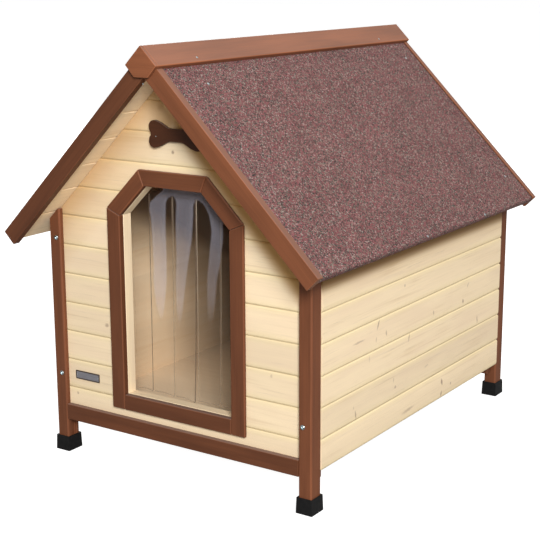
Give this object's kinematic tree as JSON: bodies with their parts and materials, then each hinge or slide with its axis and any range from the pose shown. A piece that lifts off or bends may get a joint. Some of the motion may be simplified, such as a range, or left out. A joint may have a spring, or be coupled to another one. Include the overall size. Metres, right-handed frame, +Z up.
{
  "type": "dog house",
  "caption": "Wooden dog house on four posts with a pitched felt roof, boarded walls and an arched doorway closed by hanging clear strips.",
  "frame": {"origin": "on the ground, midway between the four posts, at the middle of the whole part's footprint", "axes": "+Z up; the door faces -Y; +X to the right when looking at the door"},
  "size_m": [0.885, 1.139, 1.0182],
  "materials": {
    "brown_timber": "brown stained timber, satin",
    "cream_timber": "cream lacquered timber, satin",
    "felt": "bitumen felt with red and grey mineral granules",
    "rubber": "matt moulded",
    "floor_ply": "bare plywood",
    "metal_plate": "grey, satin",
    "clear_sheet": "clear soft plastic sheet"
  },
  "bodies": {
    "house": {"barge_board_front_left": "brown_timber", "barge_board_front_right": "brown_timber", "barge_board_rear_left": "brown_timber", "barge_board_rear_right": "brown_timber", "bone_ornament": "brown_timber", "bottom_rail_front": "brown_timber", "bottom_rail_rear": "brown_timber", "curtain_clamp_strip": "cream_timber", "curtain_header": "clear_sheet", "door_frame_corner_left": "brown_timber", "door_frame_corner_right": "brown_timber", "door_frame_left": "brown_timber", "door_frame_right": "brown_timber", "door_frame_sill": "brown_timber", "door_frame_top": "brown_timber", "door_lining": "cream_timber", "floor_bearer_front": "brown_timber", "floor_bearer_rear": "brown_timber", "floor_panel": "floor_ply", "foot_cap_front_left": "rubber", "foot_cap_front_right": "rubber", "foot_cap_rear_left": "rubber", "foot_cap_rear_right": "rubber", "front_board_01": "cream_timber", "front_board_02_left": "cream_timber", "front_board_02_right": "cream_timber", "front_board_03_left": "cream_timber", "front_board_03_right": "cream_timber", "front_board_04_left": "cream_timber", "front_board_04_right": "cream_timber", "front_board_05_left": "cream_timber", "front_board_05_right": "cream_timber", "front_board_06_left": "cream_timber", "front_board_06_right": "cream_timber", "front_board_07_left": "cream_timber", "front_board_07_right": "cream_timber", "front_gable_boards": "cream_timber", "left_wall_boards": "cream_timber", "name_plate": "metal_plate", "post_front_left": "brown_timber", "post_front_right": "brown_timber", "post_rear_left": "brown_timber", "post_rear_right": "brown_timber", "rear_wall_boards": "cream_timber", "ridge_board_left": "brown_timber", "ridge_board_right": "brown_timber", "ridge_end_block": "brown_timber", "right_wall_boards": "cream_timber", "roof_deck_left": "cream_timber", "roof_deck_right": "cream_timber", "roof_felt_left": "felt", "roof_felt_right": "felt"},
    "strip_1": {"curtain_strip_1": "clear_sheet"},
    "strip_2": {"curtain_strip_2": "clear_sheet"},
    "strip_3": {"curtain_strip_3": "clear_sheet"},
    "strip_4": {"curtain_strip_4": "clear_sheet"},
    "strip_5": {"curtain_strip_5": "clear_sheet"}
  },
  "joints": [
    {"name": "curtain_strip_1_swing", "type": "hinge", "parent": "house", "child": "strip_1", "pos_m": [-0.127, -0.4269, 0.668], "axis": [1, 0, 0], "range_deg": [0, 80]},
    {"name": "curtain_strip_2_swing", "type": "hinge", "parent": "house", "child": "strip_2", "pos_m": [-0.0676, -0.4269, 0.668], "axis": [1, 0, 0], "range_deg": [-70, 80]},
    {"name": "curtain_strip_3_swing", "type": "hinge", "parent": "house", "child": "strip_3", "pos_m": [0, -0.4269, 0.668], "axis": [1, 0, 0], "range_deg": [-70, 80]},
    {"name": "curtain_strip_4_swing", "type": "hinge", "parent": "house", "child": "strip_4", "pos_m": [0.0676, -0.4269, 0.668], "axis": [1, 0, 0], "range_deg": [-70, 80]},
    {"name": "curtain_strip_5_swing", "type": "hinge", "parent": "house", "child": "strip_5", "pos_m": [0.127, -0.4269, 0.668], "axis": [1, 0, 0], "range_deg": [0, 80]}
  ]
}
